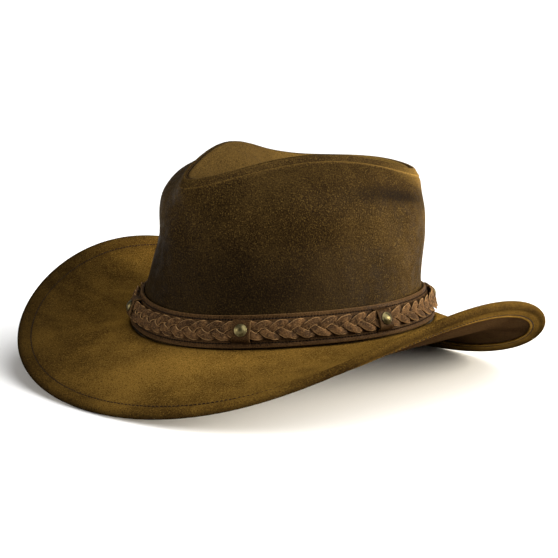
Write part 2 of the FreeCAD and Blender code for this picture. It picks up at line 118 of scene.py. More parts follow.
# ---------------------------------------------------------------- shape functions


def ring_points(ring, angles):
    """Points of a ring at angles in degrees, as rows."""
    t = np.radians(angles)
    lean = (ring.front - ring.back) / 2
    y = (-(ring.front + ring.back) / 2 * np.cos(t) - (lean + ring.side_y) / 2 * np.cos(2 * t)
         + (ring.side_y - lean) / 2 - ring.blunt * (np.cos(3 * t) - np.cos(t)))
    x = (ring.side * np.sin(t) + ring.egg * np.sin(2 * t)
         + ring.boxy * (np.sin(3 * t) + np.sin(t)))
    ends = (ring.front_z + ring.back_z) / 2
    z = ((ends + ring.side_z) / 2 + (ring.front_z - ring.back_z) / 2 * np.cos(t)
         + (ends - ring.side_z) / 2 * np.cos(2 * t) + ring.sway * (np.cos(3 * t) - np.cos(t))
         + ring.wave * (np.cos(4 * t) - 1))
    return np.stack([x, y, z], -1)


def unit(v):
    return v / np.linalg.norm(v, axis=-1, keepdims=True)


def band_points(angles, heights, depths=0.0):
    """Points on the strap's outer face at matching angles, heights and depths behind it."""
    low, high = ring_points(BAND_FOOT, angles), ring_points(BAND_TOP, angles)
    up = unit(high - low)
    along = ring_points(BAND_FOOT, angles + 1) - ring_points(BAND_FOOT, angles - 1)
    out = unit(np.cross(along, up))
    heights = np.broadcast_to(heights, np.shape(angles))[..., None]
    depths = np.broadcast_to(depths, np.shape(angles))[..., None]
    return low + up * heights - out * depths


def band_frame(angle, height):
    """A point on the strap's outer face with the directions along, up and out of it."""
    a = np.array([angle], float)
    spot = band_points(a, height)[0]
    out = unit(spot - band_points(a, height, 1.0)[0])
    up = unit(band_points(a, height + 1.0)[0] - spot)
    return spot, unit(np.cross(up, out)), up, out


def crown_points(angles, stations):
    """Points of the crown's outer face at matching angles and stations along its profile."""
    angles, stations = np.broadcast_arrays(np.asarray(angles, float),
                                           np.asarray(stations, float))
    behind = STRAP_LEATHER + TOP_LEATHER + 2 * GAP
    ridge = ring_points(RIDGE, angles)
    slope = DENT_MIDDLE + (ridge - DENT_MIDDLE) * DENT_SLOPE
    slope[..., 2] = ridge[..., 2] - DENT_SLOPE_DROP
    floor = DENT_MIDDLE + (ridge - DENT_MIDDLE) * DENT_FLOOR
    floor[..., 2] = DENT_MIDDLE[2] + DENT_FLOOR_RISE
    at = [FOOT, HEEL, BAND, MID, SHO, FOL, RID, SLO, FLO, CEN]
    knots = [band_points(angles, FOOT, behind), band_points(angles, HEEL, behind),
             band_points(angles, BAND, STRAP_LEATHER + 2 * GAP), ring_points(MIDDLE, angles),
             ring_points(SHOULDER, angles), ring_points(FOLD, angles), ridge, slope, floor,
             np.broadcast_to(DENT_MIDDLE, ridge.shape)]
    slopes = [(b - a) / (t - s) for a, b, s, t in zip(knots, knots[1:], at, at[1:])]
    tangents = [slopes[0]]
    for k in range(1, len(at) - 1):
        share = (at[k] - at[k - 1]) / (at[k + 1] - at[k - 1])
        tangents.append(slopes[k - 1] + (slopes[k] - slopes[k - 1]) * share)
    tangents.append(slopes[-1] * (1.0, 1.0, 0.0))
    points = knots[0] + slopes[0] * (stations - FOOT)[..., None]
    for k in range(len(at) - 1):
        span = at[k + 1] - at[k]
        t = ((stations - at[k]) / span)[..., None]
        piece = (knots[k] * (2 * t ** 3 - 3 * t ** 2 + 1)
                 + knots[k + 1] * (3 * t ** 2 - 2 * t ** 3)
                 + tangents[k] * (t ** 3 - 2 * t ** 2 + t) * span
                 + tangents[k + 1] * (t ** 3 - t ** 2) * span)
        inside = (stations > at[k]) & (stations <= at[k + 1])
        points = np.where(inside[..., None], piece, points)
    return points


def crown_normals(angles, stations):
    """Outward directions of the crown's face, straight up at the middle of the dent."""
    reach = np.minimum(stations, CEN - 1.0)
    along = crown_points(angles + 1, reach) - crown_points(angles - 1, reach)
    upward = crown_points(angles, reach + 0.5) - crown_points(angles, reach - 0.5)
    return unit(np.cross(along, upward))


def crown_offset(angles, stations, depths):
    """Points a depth behind the crown's outer face."""
    angles, stations, depths = np.broadcast_arrays(
        np.asarray(angles, float), np.asarray(stations, float), np.asarray(depths, float))
    return crown_points(angles, stations) - crown_normals(angles, stations) * depths[..., None]


def brim_arcs(angles):
    """The brim's profiles: root, outward direction, length, starting slope and bend."""
    root = band_points(angles, 0.0, STRAP_LEATHER + GAP)
    rim = ring_points(RIM, angles)
    flat = (rim - root) * (1.0, 1.0, 0.0)
    run = np.linalg.norm(flat, axis=-1)
    rise = rim[..., 2] - root[..., 2]
    bend = np.radians(18.0 - 36.0 * np.cos(np.radians(2 * angles)))
    bend = np.where(np.abs(bend) < 1e-5, 1e-5, bend)
    chord = np.arctan2(rise, run)
    length = np.hypot(run, rise) * (bend / 2) / np.sin(bend / 2)
    return root, flat / run[..., None], length, chord - bend / 2, bend


def brim_length(angles):
    return brim_arcs(np.asarray(angles, float))[2]


def brim_offset(angles, from_rim, depths):
    """Points of the brim, counted outward from the rim, a depth below its top face."""
    angles, from_rim, depths = np.broadcast_arrays(
        np.asarray(angles, float), np.asarray(from_rim, float), np.asarray(depths, float))
    root, outward, length, start, bend = brim_arcs(angles)
    reach = np.minimum(length + from_rim, length)
    over = np.maximum(from_rim, 0.0)
    slope = start + bend * reach / length
    half = bend * reach / length / 2
    chord = reach * np.sinc(half / np.pi)
    across = chord * np.cos(start + half) + over * np.cos(slope) + depths * np.sin(slope)
    upward = chord * np.sin(start + half) + over * np.sin(slope) - depths * np.cos(slope)
    return root + outward * across[..., None] + np.array((0.0, 0.0, 1.0)) * upward[..., None]


def seat(points):
    """Points of the hat as it stands on the table, in metres."""
    pitch = math.radians(SEAT_PITCH)
    x, y, z = points[..., 0], points[..., 1], points[..., 2]
    return MM * np.stack([
        x, y * math.cos(pitch) - z * math.sin(pitch) + SEAT_SHIFT_Y,
        y * math.sin(pitch) + z * math.cos(pitch) + SEAT_LIFT], -1)


def strip(path, thickness):
    """The outline of a strip of even thickness along a flat path of points."""
    path = np.asarray(path, float)
    step = np.gradient(path, axis=0)
    step /= np.linalg.norm(step, axis=1)[:, None]
    side = np.stack([-step[:, 1], step[:, 0]], 1) * thickness / 2
    return np.concatenate([path + side, (path - side)[::-1]])


def rounded(path, radius, steps=4):
    """A flat open path with its corners rounded."""
    path = [np.asarray(p, float) for p in path]
    out = [path[0]]
    for a, b, c in zip(path, path[1:], path[2:]):
        first, last = a - b, c - b
        cut = min(radius, np.linalg.norm(first) / 2, np.linalg.norm(last) / 2)
        first, last = b + unit(first) * cut, b + unit(last) * cut
        for t in np.linspace(0, 1, steps + 1):
            out.append(first * (1 - t) ** 2 + b * 2 * t * (1 - t) + last * t ** 2)
    return np.array(out + [path[-1]])


# ---------------------------------------------------------------- making meshes


def lumps(points, size, seed, waves=24):
    """Smooth random unevenness, about -1 to 1, with lumps of a given size in millimetres."""
    rng = np.random.default_rng(seed)
    directions = unit(rng.normal(size=(waves, 3)))
    rates = 2 * np.pi / (size * rng.uniform(1.6, 3.2, waves))
    phases = rng.uniform(0, 2 * np.pi, waves)
    return np.sin(points @ (directions * rates[:, None]).T + phases).sum(-1) / math.sqrt(waves)


def loft_faces(rows, across, wrap_rows, wrap_across):
    """Quads of a grid of vertices, joined end to end either way if asked."""
    i = np.arange(rows if wrap_rows else rows - 1)[:, None]
    j = np.arange(across if wrap_across else across - 1)[None, :]
    below, beside = (i + 1) % rows, (j + 1) % across
    quads = [i * across + j, i * across + beside, below * across + beside, below * across + j]
    return np.stack([np.broadcast_to(q, (i.size, j.size)) for q in quads], -1).reshape(-1, 4)


class Shape:
    """Collects the points, faces and marks of wear and of painted light and shade of one piece, in
    millimetres in the hat's frame.

    The mark is positive where the surface is lighter, from rubbed wear and painted light, and
    negative where it is darker, from holes, darker leather and painted shade.
    """

    def __init__(self):
        self.points = []
        self.wear_and_shading = []
        self.faces = []
        self.count = 0

    def add(self, points, faces, wear_and_shading=0.0):
        points = np.asarray(points, float).reshape(-1, 3)
        self.points.append(points)
        self.wear_and_shading.append(np.broadcast_to(np.ravel(wear_and_shading), len(points)))
        self.faces += [[int(v) + self.count for v in face] for face in faces]
        self.count += len(points)

    def loft(self, grid, wrap_rows=True, wear_and_shading=0.0):
        """Skins a grid of closed sections, capping the ends of an open one."""
        rows, across = grid.shape[:2]
        faces = loft_faces(rows, across, wrap_rows, True).tolist()
        if not wrap_rows:
            faces.append(list(range(across))[::-1])
            faces.append(list(range((rows - 1) * across, rows * across)))
        self.add(grid, faces, np.broadcast_to(wear_and_shading, grid.shape[:2]))

    def piece(self, name, material, nodes, slot):
        """Makes the object, seats it, hides the CAD nodes that it stands for and hangs it on the
        root body.
        """
        mesh = bpy.data.meshes.new(name)
        mesh.from_pydata(seat(np.concatenate(self.points)).tolist(), [], self.faces)
        wear_and_shading = mesh.attributes.new("wear_and_shading", "FLOAT", "POINT")
        wear_and_shading.data.foreach_set("value", np.concatenate(self.wear_and_shading).astype(np.float32))
        tidy = bmesh.new()
        tidy.from_mesh(mesh)
        bmesh.ops.remove_doubles(tidy, verts=tidy.verts, dist=1e-6)
        bmesh.ops.recalc_face_normals(tidy, faces=tidy.faces)
        tidy.to_mesh(mesh)
        tidy.free()
        mesh.shade_smooth()
        mesh.materials.append(material)
        made = bpy.data.objects.new(name, mesh)
        bpy.context.scene.collection.objects.link(made)
        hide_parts(*nodes)
        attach(made, "root")


def bump(x, middle, width):
    """1 at the middle, falling to 0 either side of it."""
    return np.exp(-((x - middle) / width) ** 2)


def full_turn(count):
    """Evenly spaced angles once round, in degrees."""
    return np.arange(count) * 360.0 / count


def spread(*runs):
    """Joins runs of (start, end, count) into one list of values."""
    return np.concatenate([np.linspace(a, b, n, endpoint=False) for a, b, n in runs])


ALONG_STITCH = np.linspace(-1, 1, 7)    # places along one stitch, from end to end
THREAD_SIDES = 6


def add_thread(shape, spine, beside, above, radius):
    """Adds one stitch along its spine, thinner at both ends."""
    turn = np.radians(full_turn(THREAD_SIDES))[:, None]
    thin = radius * np.sqrt(1 - 0.85 * ALONG_STITCH ** 8)[:, None, None]
    ring = np.cos(turn) * beside[:, None, :] + np.sin(turn) * above[:, None, :]
    shape.loft(spine[:, None, :] + ring * thin, wrap_rows=False)


def stitches(shape, centre, count, length, radius, height, slant=0.0):
    """Adds a row of stitches round the hat, each dipping into the leather at both its ends.

    centre(angles, lift, side) gives points a lift above the leather and beside the row.
    The length is a share of the distance from one stitch to the next.
    """
    t = ALONG_STITCH
    pitch = 360.0 / count
    angles = full_turn(count)[:, None] + t * pitch * length / 2
    lift = height * (1 - t ** 4) - radius * 1.2 * t ** 4 + 0 * angles
    side = slant * t + 0 * angles

    def row(lift, side):
        return centre(angles.ravel(), lift.ravel(), side.ravel()).reshape(*angles.shape, 3)
    spine = row(lift, side)
    above = row(lift + 1, side) - spine
    beside = row(lift, side + 1) - spine
    for k in range(count):
        add_thread(shape, spine[k], beside[k], above[k], radius)


# ---------------------------------------------------------------- crown


def seam_dip(stations):
    """How far the leather sinks at the top seam and just below the fold.

    It puffs up a little beside the seam and at the fold itself.
    """
    away = np.abs(stations - JOIN)
    crease = 0.25 * bump(stations, FOL - 1.6, 1.0) - 0.3 * bump(stations, FOL, 0.8)
    return 1.2 * bump(away, 0.0, 0.9) - 0.25 * bump(away, 2.6, 1.4) + crease


def crown_wrinkles(angles, stations):
    """Soft dents of worn leather, none near the band or the ridge, and a crease at the side."""
    spots = crown_points(angles, stations)
    calm = np.clip((stations - 26) / 25, 0, 1) * np.clip(np.abs(stations - 109) / 14, 0, 1)
    around = bump((angles + 360) % 360, 92, 26)
    crease = around * (1.6 * bump(stations, 88, 7) - 0.6 * bump(stations, 99, 5))
    return calm * (0.5 * lumps(spots, 24, 5) + 0.15 * lumps(spots, 9, 6)) + crease


def crown_shading_and_tone(angles, stations):
    """Painted light and shade, and a darker tone low on the wall, on a grid of angles and
    stations.

    A painted highlight along the fold, and painted light on top and towards the back, where the
    light falls.
    Darker low on the wall, painted shade in the crease, and the darkest painted shade in the gap
    of the top seam.
    """
    a, s = np.meshgrid(angles, stations, indexing="ij")
    # painted shade, darkest in the gap of the top seam
    seam_gap_shade = bump(s, JOIN, 0.8)
    # painted shade in the crease at the side
    crease = bump(a % 360, 105, 34) * bump(s, 87, 8)
    # painted light on the top, which faces the light from above
    painted_top_light = 0.28 * np.clip((s - RID + 5) / 6, 0, 1)
    # painted light towards the back, on the side the light comes from
    behind = 0.95 * bump(a % 360, 180, 60) * (1 - 0.9 * crease)
    light = np.maximum(painted_top_light, behind)
    # darker low on the wall, and more painted shade in the crease
    darker_low_and_crease = 0.5 * bump(s, 34, 40) + 0.55 * crease
    # the first term is a painted highlight along the fold
    return 0.35 * bump(s, FOL, 0.6) + light - darker_low_and_crease * (1 - light) - 1.6 * seam_gap_shade


def crown_grid(angles, stations, depths):
    """Grid of crown points, one row per angle, from profiles of stations and depths."""
    a, s = np.meshgrid(angles, stations, indexing="ij")
    d = np.broadcast_to(depths, s.shape)
    shallow = np.clip(1 - d / 6, 0, 1)
    settled = (crown_wrinkles(a, s) + seam_dip(s) * (d < 1)) * shallow
    return crown_offset(a, s, d + settled)


# A panel's edge at the top seam: (distance from the seam, depth) from its face, round the
# fold, down the seam allowance and back to the inside of the panel.
SEAM_EDGE = ((1.2, 0.0), (0.7, 0.04), (0.3, 0.2), (0.1, 0.5), (0.06, 0.9), (0.06, 2.2),
             (0.1, SEAM_ALLOWANCE), (1.2, SEAM_ALLOWANCE), (1.3, 2.4), (1.4, 1.8))


def panel_profile(face, side, inside):
    """Stations and depths of a crown panel that meets the top seam from one side, -1 or 1."""
    stations = np.concatenate([face, [JOIN + side * away for away, d in SEAM_EDGE], inside])
    depths = np.concatenate([np.zeros(len(face)), [d for away, d in SEAM_EDGE],
                             np.full(len(inside), SIDE_LEATHER)])
    return stations, depths


def crown_side():
    """The wall of the crown, one strip whose ends meet at the back."""
    face = spread((CROWN_FOOT, 24, 16), (24, SHO, 46), (SHO, JOIN - 1.2, 40))
    stations, depths = panel_profile(face, -1, np.linspace(JOIN - 2.6, CROWN_FOOT, 40))
    angles = np.linspace(180.12, 539.88, 541)
    wear_and_shading = crown_shading_and_tone(angles, stations)
    shape = Shape()
    shape.loft(crown_grid(angles, stations, depths), wrap_rows=False, wear_and_shading=wear_and_shading)
    shape.piece("CrownSide", crown_leather, ["crown_side_panel"], "crown_leather")


def crown_tip():
    """The dented top of the crown, a disc whose first and last points are its middle."""
    face = spread((CEN, 118, 44), (118, JOIN + 1.2, 14))
    stations, depths = panel_profile(face, 1, np.linspace(JOIN + 2.4, CEN, 40))
    angles = full_turn(540)
    grid = crown_grid(angles, stations, depths)
    grid[:, 0] = grid[:, 0].mean(0)
    grid[:, -1] = grid[:, -1].mean(0)
    shape = Shape()
    faces = loft_faces(len(angles), len(stations), True, False).tolist()
    shape.add(grid, faces, crown_shading_and_tone(angles, stations))
    shape.piece("CrownTip", crown_leather, ["crown_tip_panel"], "crown_leather")


def crown_stitches():
    """The thread of the top seam, sunk between the two panels."""
    def centre(angles, lift, side):
        return crown_offset(angles, JOIN + side, 0.75 - lift)
    shape = Shape()
    stitches(shape, centre, 150, 0.8, THREAD_RADIUS, 0.15)
    shape.piece("TopSeamStitches", seam_thread, ["crown_seam_thread"], "seam_thread")


def back_stitches():
    """Short threads up both sides of the back seam, from the band to below the fold."""
    shape = Shape()
    t = ALONG_STITCH
    lift = 0.25 * (1 - t ** 4) - 0.45 * t ** 4
    half, pitch = 1.2, 3.0
    for angle in (178.4, 181.6):
        angles = np.full(len(t), angle)
        for station in np.arange(23.5, 100.0, pitch):
            stations = station + half * t
            spine = crown_offset(angles, stations, -lift)
            out = crown_normals(angles, stations)
            beside = unit(np.cross(out, np.gradient(spine, axis=0)))
            add_thread(shape, spine, beside, out, THREAD_RADIUS)
    shape.piece("BackSeamStitches", seam_thread, ["crown_back_threads"], "seam_thread")


# ---------------------------------------------------------------- brim


def brim_waves(points, from_rim):
    """The slight unevenness of a worn brim, none at its rim."""
    calm = np.clip(-from_rim / 14, 0, 1)
    return calm * (0.35 * lumps(points, 30, 15) + 0.12 * lumps(points, 9, 16))


def brim_grid(angles, path):
    """Grid of brim points from one profile per angle of (from rim, depth) pairs."""
    profiles = np.array([path(angle) for angle in angles])
    reach, depth = profiles[..., 0], profiles[..., 1]
    a = np.broadcast_to(angles[:, None], reach.shape)
    spots = brim_offset(a, reach, depth)
    up = np.array((0.0, 0.0, 1.0))
    return spots + up * brim_waves(spots, reach)[..., None]


def stitch_groove(reach):
    """The leather is drawn down along the edge stitching."""
    return 0.35 * bump(reach, -EDGE_STITCH_INSET, 0.7)


def brim_top():
    """The upper leather, rolled round the wire and turned under; darkest at its rolled edge, with
    painted shade towards the rim and a painted shadow of the crown on its front-right.
    """
    roll = ROLL_RADIUS + TOP_LEATHER / 2
    middle = (TOP_LEATHER + INTERLINING + UNDER_LEATHER + 2 * GAP) / 2
    hem = 2 * middle + GAP + TOP_LEATHER / 2

    def path(angle):
        length = brim_length(np.array([angle]))[0]
        run = [(r, TOP_LEATHER / 2) for r in spread((1.5 - length, -9.0, 30), (-9.0, -4.6, 12))]
        run = [(r, d + stitch_groove(r)) for r, d in run]
        run += [(-4.0, 0.45), (-3.2, 0.1), (-2.4, -0.3), (-1.6, middle - roll + 0.15)]
        for turn in range(-20, 201, 10):
            bend = math.radians(turn)
            run.append((roll * math.sin(bend), middle - roll * math.cos(bend)))
        run += [(-1.8, hem - 0.5), (-2.6, hem - 0.2), (-3.6, hem)]
        run += [(r, hem - stitch_groove(r)) for r in np.linspace(-4.4, -HEM_WIDTH, 10)]
        return strip(run, TOP_LEATHER)
    angles = full_turn(720)
    grid = brim_grid(angles, path)
    across = grid.shape[1]
    place = np.minimum(np.arange(across), across - 1 - np.arange(across))
    rolled = bump(place, across // 2 - 18, 11)
    flat_points = 42
    inset = np.linspace(1, 0, flat_points)[np.minimum(place, flat_points - 1)]
    front_right = -45
    # painted shade: a little darker towards the rim all round, and a painted shadow of the crown
    # over the front-right of the brim
    brim_shade = 0.2 + 0.36 * bump((angles + 180) % 360 - 180, front_right, 60)
    shape = Shape()
    shape.loft(grid, wear_and_shading=-brim_shade[:, None] * bump(inset, 0, 0.9) - 0.4 * rolled)
    shape.piece("BrimTop", brim_leather, ["brim_top_leather"], "brim_leather")


def brim_under():
    """The under-brim leather, whose edge is tucked into the roll."""
    middle = TOP_LEATHER + INTERLINING + 2 * GAP + UNDER_LEATHER / 2

    def path(angle):
        length = brim_length(np.array([angle]))[0]
        run = [(r, middle) for r in np.linspace(-0.6 - length, -2.6, 40)]
        return strip(run, UNDER_LEATHER)
    shape = Shape()
    shape.loft(brim_grid(full_turn(720), path))
    shape.piece("BrimUnder", under_leather, ["brim_under_leather"], "under_leather")


def brim_stitches():
    """One row on top of the brim and one under its hem."""
    below = 2 * TOP_LEATHER + INTERLINING + UNDER_LEATHER + 3 * GAP

    def top(angles, lift, side):
        return brim_offset(angles, side - EDGE_STITCH_INSET, 0.28 - lift)

    def bottom(angles, lift, side):
        return brim_offset(angles, side - EDGE_STITCH_INSET, below - 0.28 + lift)
    shape = Shape()
    for centre in (top, bottom):
        stitches(shape, centre, 380, 0.82, THREAD_RADIUS, 0.12)
    shape.piece("BrimEdgeStitches", dark_thread, ["brim_edge_threads"], "dark_thread")


# ---------------------------------------------------------------- sweatband


def sweatband():
    """The sweatband, its lower edge folded round the reed."""
    fold = REED_RADIUS + 0.12 + SWEAT_LEATHER / 2
    depth = SIDE_LEATHER + 0.3 + SWEAT_LEATHER / 2
    path = [(s, depth) for s in np.linspace(SWEAT_TOP, 1.0, 22)]
    path += [(-1.0, depth), (-3.0, depth + 0.15)]
    for turn in range(0, 201, 10):
        bend = math.radians(turn)
        path.append((REED_STATION - fold * math.sin(bend), REED_DEPTH + fold * math.cos(bend)))
    outline = strip(path, SWEAT_LEATHER)
    a, s = np.meshgrid(full_turn(360), outline[:, 0], indexing="ij")
    d = np.broadcast_to(outline[:, 1], a.shape)
    shape = Shape()
    shape.loft(crown_offset(a, s, d))
    shape.piece("Sweatband", sweat_leather, ["sweatband"], "sweat_leather")


def sweatband_stitches():
    """The row that sews the sweatband in, seen from inside."""
    depth = SIDE_LEATHER + 0.3 + SWEAT_LEATHER

    def centre(angles, lift, side):
        return crown_offset(angles, side - 0.5, depth + lift)
    shape = Shape()
    stitches(shape, centre, 190, 0.8, 0.3, 0.3)
    shape.piece("SweatbandStitches", dark_thread, ["sweatband_thread"], "dark_thread")


# ---------------------------------------------------------------- hatband

STRAP_STITCHES = 300    # in each row
STITCH_ROWS = (STRAP_LIFT + STITCH_MARGIN, STRAP_TOP - STITCH_MARGIN)
KEEPER_WINDOW = (STRAP_MIDDLE - KEEPER_OPENING / 2, STRAP_MIDDLE + KEEPER_OPENING / 2)
LACE_WIDTH = 4.5        # wider than the CAD lace, which is 3.9


def strap_profile():
    """Heights and depths of the strap's face: soft edges and a groove under each stitch row."""
    edge = [(0.0, 0.7), (0.12, 0.3), (0.4, 0.08), (0.9, 0.0)]
    low, high = STITCH_ROWS
    groove = [low - 0.6, low - 0.25, low, low + 0.25, low + 0.6]
    rows = [(STRAP_LIFT + h, d) for h, d in edge]
    rows += [(h, 0.22 * bump(h, low, 0.3)) for h in groove]
    rows += [(h, 0.0) for h in np.linspace(*KEEPER_WINDOW, 7)]
    rows += [(h, 0.22 * bump(h, high, 0.3)) for h in [high + (r - low) for r in groove]]
    rows += [(STRAP_TOP - h, d) for h, d in edge[::-1]]
    return np.array(rows).T


def stitch_holes(angles, heights):
    """1 at the needle holes between the stitches of both rows, falling to 0 round them."""
    along = (angles * STRAP_STITCHES / 360 - 0.5) % 1.0
    along = np.minimum(along, 1 - along)
    low, high = STITCH_ROWS
    from_row = np.minimum(np.abs(heights - low), np.abs(heights - high))
    return bump(along, 0, 0.24) * bump(from_row, 0, 0.4)


def strap():
    """The strap as a slab with a window at each keeper, and the keepers over the windows."""
    half = (KEEPER_WIDTH + 2 * SLIT) / 2
    windows = [(angle - half / band_scale(angle), angle + half / band_scale(angle))
               for angle in KEEPER_ANGLES]
    angles = np.unique(np.concatenate([full_turn(STRAP_STITCHES * 4), np.ravel(windows)]))
    heights, depths = strap_profile()
    a, h = np.meshgrid(angles, heights, indexing="ij")
    holes = stitch_holes(a, h)
    wavy = 0.12 * lumps(band_points(a, h), 10, 31) + 0.5 * holes
    outer = band_points(a, h, depths + wavy)
    inner = band_points(a, h, STRAP_LEATHER - depths * (depths > 0.05))
    middle = (angles + np.roll(angles, -1)) / 2
    middle[-1] = (angles[-1] + angles[0] + 360) / 2 % 360
    in_window = np.any([(middle > low) & (middle < high) for low, high in windows], axis=0)
    bottom, top = KEEPER_WINDOW
    between = (heights[:-1] + heights[1:]) / 2
    kept = ~(in_window[:, None] & (between > bottom) & (between < top))
    wear_and_shading = 0.9 * bump(np.minimum(heights - STRAP_LIFT, STRAP_TOP - heights), 0.0, 0.5)
    shape = Shape()
    # the needle holes are darkened as painted shade
    slab(shape, outer, inner, kept, wear_and_shading - 1.5 * holes)
    for angle in KEEPER_ANGLES:
        keeper(shape, angle)
    shape.piece("HatbandStrap", strap_leather, ["hatband_strap"], "strap_leather")


def band_scale(angle):
    """Millimetres of the strap per degree at an angle."""
    ends = band_points(np.array([angle - 0.5, angle + 0.5]), STRAP_MIDDLE)
    return np.linalg.norm(ends[1] - ends[0])


def slab(shape, outer, inner, kept, wear_and_shading):
    """Adds a ring-shaped slab from two matching grids, leaving out the cells not kept."""
    rows, across = outer.shape[:2]
    size = rows * across
    quads = loft_faces(rows, across, True, False).reshape(rows, across - 1, 4)
    faces = quads[kept].tolist()
    faces += (quads[kept][:, ::-1] + size).tolist()
    padded = np.pad(kept, ((0, 0), (1, 1)))
    for i, j in zip(*np.nonzero(kept)):
        a, b, c, d = (int(v) for v in quads[i, j])
        if not padded[i, j]:
            faces.append((a, d, d + size, a + size))
        if not padded[i, j + 2]:
            faces.append((c, b, b + size, c + size))
        if not kept[i - 1, j]:
            faces.append((b, a, a + size, b + size))
        if not kept[(i + 1) % rows, j]:
            faces.append((d, c, c + size, d + size))
    shape.add(np.concatenate([outer, inner]), faces, np.concatenate([wear_and_shading, wear_and_shading]))


def keeper(shape, angle):
    """The bridge of strap leather between two slits, arched over the braid."""
    arch = [(8.4, -1.0), (7.1, -0.75), (6.5, 0.5), (6.3, 2.4), (5.0, KEEPER_RISE - 0.3)]
    path = [(-up, out) for up, out in arch] + [(0.0, KEEPER_RISE)] + arch[::-1]
    path = rounded(path, 1.6)
    spot, along, up, out = band_frame(angle, STRAP_MIDDLE)
    half = KEEPER_WIDTH / 2
    places = [(-half, 0.45), (-half + 0.12, 0.15), (-half + 0.45, 0.0), (-half + 1.2, 0.0),
              (0.0, 0.0)]
    places += [(-a, d) for a, d in places[-2::-1]]
    grid = []
    for place, thinner in places:
        outline = strip(path, KEEPER_LEATHER - thinner)
        grid.append(spot + along * place + up * outline[:, :1] + out * outline[:, 1:])
    raised = np.clip(outline[:, 1] - 0.4, 0, 1)
    wear_and_shading = np.array([1.0, 0.9, 0.3, 0.0, 0.0, 0.0, 0.3, 0.9, 1.0])[:, None] * raised
    shape.loft(np.array(grid), wrap_rows=False, wear_and_shading=wear_and_shading)


def strap_stitches():
    """Both rows of stitching along the strap."""
    shape = Shape()
    for row in STITCH_ROWS:
        def centre(angles, lift, side, row=row):
            return band_points(angles, row + side, 0.15 - lift)
        stitches(shape, centre, STRAP_STITCHES, 0.72, 0.28, 0.12, slant=0.1)
    nodes = ["hatband_upper_thread", "hatband_lower_thread"]
    shape.piece("StrapStitches", dark_thread, nodes, "dark_thread")


def lace_row(angles, strand, u, v):
    """Points of a lace: u across it and v up from its middle, both in millimetres."""
    phase = np.radians(BRAID_PERIODS * angles + 120 * strand)
    height = STRAP_MIDDLE + BRAID_SWING * np.sin(phase)
    lowest = GAP + LACE_THICKNESS / 2 + 0.25
    out = lowest + BRAID_WEAVE * (1 + np.sin(2 * phase - math.radians(BRAID_LAG)))
    quarter = phase - np.pi / 4
    tilt = BRAID_TILT * np.sin(quarter) ** 2 * np.cos(quarter)
    slope = BRAID_SWING * np.cos(phase) * math.radians(BRAID_PERIODS) / band_scale(0.0)
    wide = np.hypot(1, slope)
    return band_points(angles, height + u * wide, -out - tilt * u * wide - v)


def lace(strand):
    """A suede lace, crowned across its width, with ragged edges and painted shade where it is
    tucked under.
    """
    angles = full_turn(BRAID_PERIODS * 60)
    across = np.array([-1, -0.94, -0.78, -0.5, -0.25, 0, 0.25, 0.5, 0.78, 0.94, 1.0])
    thick = LACE_THICKNESS / 2 * np.array([0.6, 0.9, 1, 1, 1, 1, 1, 1, 1, 0.9, 0.6])
    dome = 0.3 * (1 - across ** 2)
    u = np.concatenate([across, across[::-1]]) * LACE_WIDTH / 2
    v = np.concatenate([dome - thick, (dome * 1.4 + thick)[::-1]])
    edge = np.abs(u) * 2 / LACE_WIDTH
    a, uu = np.meshgrid(angles, u, indexing="ij")
    vv = np.broadcast_to(v, a.shape)
    plain = lace_row(a, strand, uu, vv)
    ragged = 0.16 * lumps(plain, 3.2, 50 + strand) + 0.09 * lumps(plain, 1.1, 60 + strand)
    rough = 0.06 * lumps(plain, 1.3, 70 + strand) + 0.08 * lumps(plain, 4.0, 80 + strand)
    grid = lace_row(a, strand, uu + np.sign(uu) * edge ** 3 * ragged, vv + rough)
    shape = Shape()
    phase = np.radians(2 * (BRAID_PERIODS * a + 120 * strand) - BRAID_LAG)
    # painted shade where the lace dips under the others
    tucked_shade = np.clip(-np.sin(phase), 0, 1) ** 2
    shape.loft(grid, wear_and_shading=bump(edge, 1.0, 0.12) * (1 - tucked_shade) - 0.55 * tucked_shade)
    node = f"braid_strand_{strand + 1}"
    shape.piece(f"Lace{strand + 1}", lace_suede, [node], "lace_suede")


def rivets():
    """Domed caps with a small rolled rim."""
    base = KEEPER_RISE + KEEPER_LEATHER / 2
    ball = (RIVET_RADIUS ** 2 + RIVET_HEIGHT ** 2) / (2 * RIVET_HEIGHT)
    profile = [(RIVET_RADIUS - 0.5, 0.0), (RIVET_RADIUS - 0.1, 0.05), (RIVET_RADIUS, 0.3),
               (RIVET_RADIUS - 0.12, 0.52)]
    for reach in np.linspace(RIVET_RADIUS - 0.45, 0.0, 12):
        profile.append((reach, RIVET_HEIGHT - ball + math.sqrt(ball ** 2 - reach ** 2) + 0.02))
    sides = 48
    turn = np.radians(full_turn(sides))
    shape = Shape()
    for angle in KEEPER_ANGLES:
        spot, along, up, out = band_frame(angle, STRAP_MIDDLE)
        reach = np.array([r for r, h in profile])[None, :, None]
        rise = np.array([h for r, h in profile])[None, :, None]
        round_about = np.cos(turn)[:, None, None] * along + np.sin(turn)[:, None, None] * up
        grid = spot + round_about * reach + out * (base + rise)
        shape.add(grid, loft_faces(sides, len(profile), True, False).tolist())
    shape.piece("RivetCaps", antique_brass, ["rivet_caps"], "antique_brass")


# ---------------------------------------------------------------- materials


